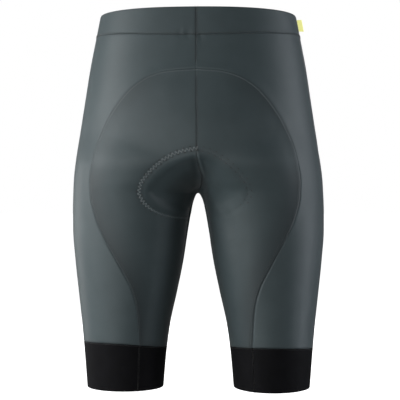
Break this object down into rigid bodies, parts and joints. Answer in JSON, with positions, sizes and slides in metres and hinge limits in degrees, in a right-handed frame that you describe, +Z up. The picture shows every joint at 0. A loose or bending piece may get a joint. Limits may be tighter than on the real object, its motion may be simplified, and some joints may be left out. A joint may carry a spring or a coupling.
{
  "type": "cycling shorts",
  "caption": "Waist cycling shorts in worn form: knit side and seat panels, elastic waistband and leg grippers, and a shaped foam seat pad inside.",
  "frame": {"origin": "middle of the waist opening, half way down the waistband at the centre back", "axes": "+Z up along the wearer, from the legs to the waist; -Y out of the wearer's back, +Y to the front; +X to the wearer's right"},
  "size_m": [0.3628, 0.2253, 0.541],
  "materials": {
    "side_knit": "smooth warp knit, slight sheen",
    "seat_knit": "smooth warp knit, slight sheen",
    "waist_elastic": "smooth knit over elastic",
    "gripper_elastic": "matt black elastic",
    "pad_foam": "foam faced with soft knit",
    "tab_ribbon": "woven ribbon, bright yellow"
  },
  "bodies": {
    "root": {"waistband": "waist_elastic", "left_side_panel": "side_knit", "right_side_panel": "side_knit", "left_seat_panel": "seat_knit", "right_seat_panel": "seat_knit", "left_leg_gripper": "gripper_elastic", "right_leg_gripper": "gripper_elastic", "seat_pad": "pad_foam", "side_tab": "tab_ribbon"}
  },
  "joints": []
}
